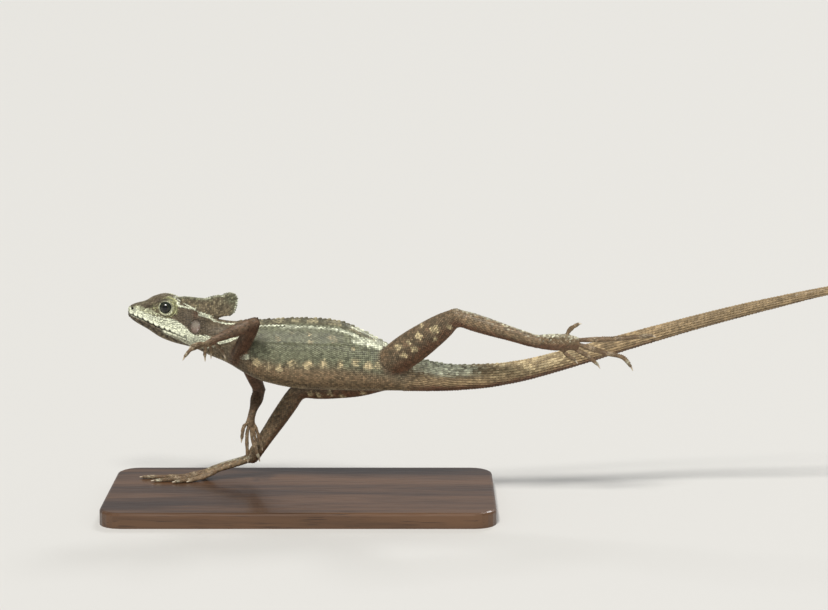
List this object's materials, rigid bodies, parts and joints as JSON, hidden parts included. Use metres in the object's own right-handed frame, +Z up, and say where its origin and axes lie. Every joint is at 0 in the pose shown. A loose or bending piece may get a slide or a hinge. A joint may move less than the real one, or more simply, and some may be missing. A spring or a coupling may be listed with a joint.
{
  "type": "brown basilisk lizard running on its hind legs",
  "caption": "Life-size still model of a slender brown lizard with a head crest and a very long tail, caught running upright on its hind legs on a flat display base.",
  "frame": {"origin": "centre of the display base's underside, on the surface it stands on", "axes": "+Z up; the animal faces -X with its tail towards +X; its left side is towards -Y"},
  "size_m": [0.4539, 0.084, 0.1093],
  "materials": {
    "stand_base": "satin",
    "head": "scaly, matt",
    "lower_jaw": "scaly, matt",
    "crest": "scaly, matt",
    "eye_left": "wet gloss",
    "eye_right": "wet gloss",
    "neck": "scaly, matt",
    "torso": "scaly, matt",
    "tail_base": "keeled scales, matt",
    "tail_middle": "keeled scales, matt",
    "tail_end": "keeled scales, matt",
    "tail_tip": "keeled scales, matt",
    "upper_arm_left": "scaly, matt",
    "forearm_left": "scaly, matt",
    "hand_left": "scaly, matt",
    "upper_arm_right": "scaly, matt",
    "forearm_right": "scaly, matt",
    "hand_right": "scaly, matt",
    "thigh_left": "scaly, matt",
    "shin_left": "scaly, matt",
    "foot_left": "scaly, matt",
    "thigh_right": "scaly, matt",
    "shin_right": "scaly, matt",
    "foot_right": "scaly, matt"
  },
  "bodies": {
    "root": {"stand_base": "stand_base", "head": "head", "lower_jaw": "lower_jaw", "crest": "crest", "eye_left": "eye_left", "eye_right": "eye_right", "neck": "neck", "torso": "torso", "tail_base": "tail_base", "tail_middle": "tail_middle", "tail_end": "tail_end", "tail_tip": "tail_tip", "upper_arm_left": "upper_arm_left", "forearm_left": "forearm_left", "hand_left": "hand_left", "upper_arm_right": "upper_arm_right", "forearm_right": "forearm_right", "hand_right": "hand_right", "thigh_left": "thigh_left", "shin_left": "shin_left", "foot_left": "foot_left", "thigh_right": "thigh_right", "shin_right": "shin_right", "foot_right": "foot_right"}
  },
  "joints": []
}
